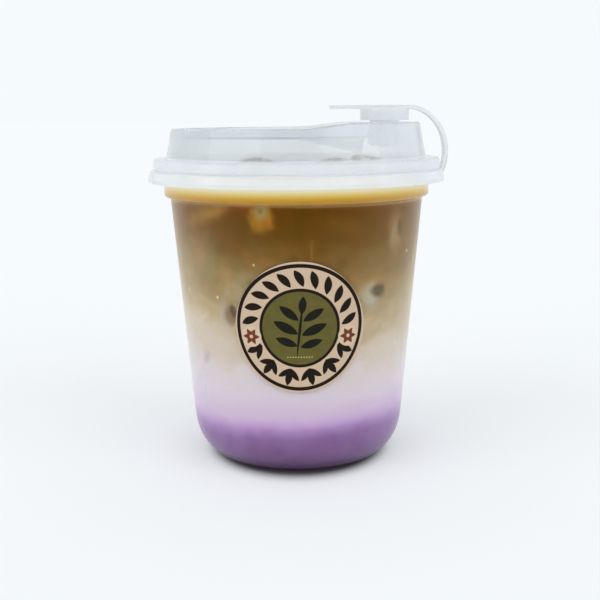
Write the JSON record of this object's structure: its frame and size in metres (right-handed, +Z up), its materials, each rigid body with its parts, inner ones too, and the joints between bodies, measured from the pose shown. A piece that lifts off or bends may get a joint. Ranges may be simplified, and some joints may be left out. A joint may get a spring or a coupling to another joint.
{
  "type": "iced taro milk coffee in a lidded cup",
  "caption": "Clear tapered takeaway cup of layered iced drink, purple taro under milk, coffee and foam, with a round label and a frosted sip lid whose strapped stopper closes the lip.",
  "frame": {"origin": "middle of the foot ring, on the surface the cup rests on", "axes": "+Z up out of the cup, -Y towards the side with the label, +X towards the drinking side of the lid"},
  "size_m": [0.1047, 0.1034, 0.1233],
  "materials": {
    "clear_plastic": "clear, slightly milky, glossy",
    "frosted_plastic": "translucent frosted, soft gloss",
    "label_paper": "satin printed sticker",
    "taro": "opaque purple",
    "milk": "opaque, lilac white",
    "coffee": "cloudy brown",
    "foam": "fine golden foam",
    "ice": "wet, cloudy inside"
  },
  "bodies": {
    "root": {"cup": "clear_plastic", "lid": "frosted_plastic", "label": "label_paper", "taro_layer": "taro", "milk_layer": "milk", "coffee_layer": "coffee", "foam_layer": "foam", "ice_left": "ice", "ice_front": "ice", "ice_upright": "ice"}
  },
  "joints": []
}
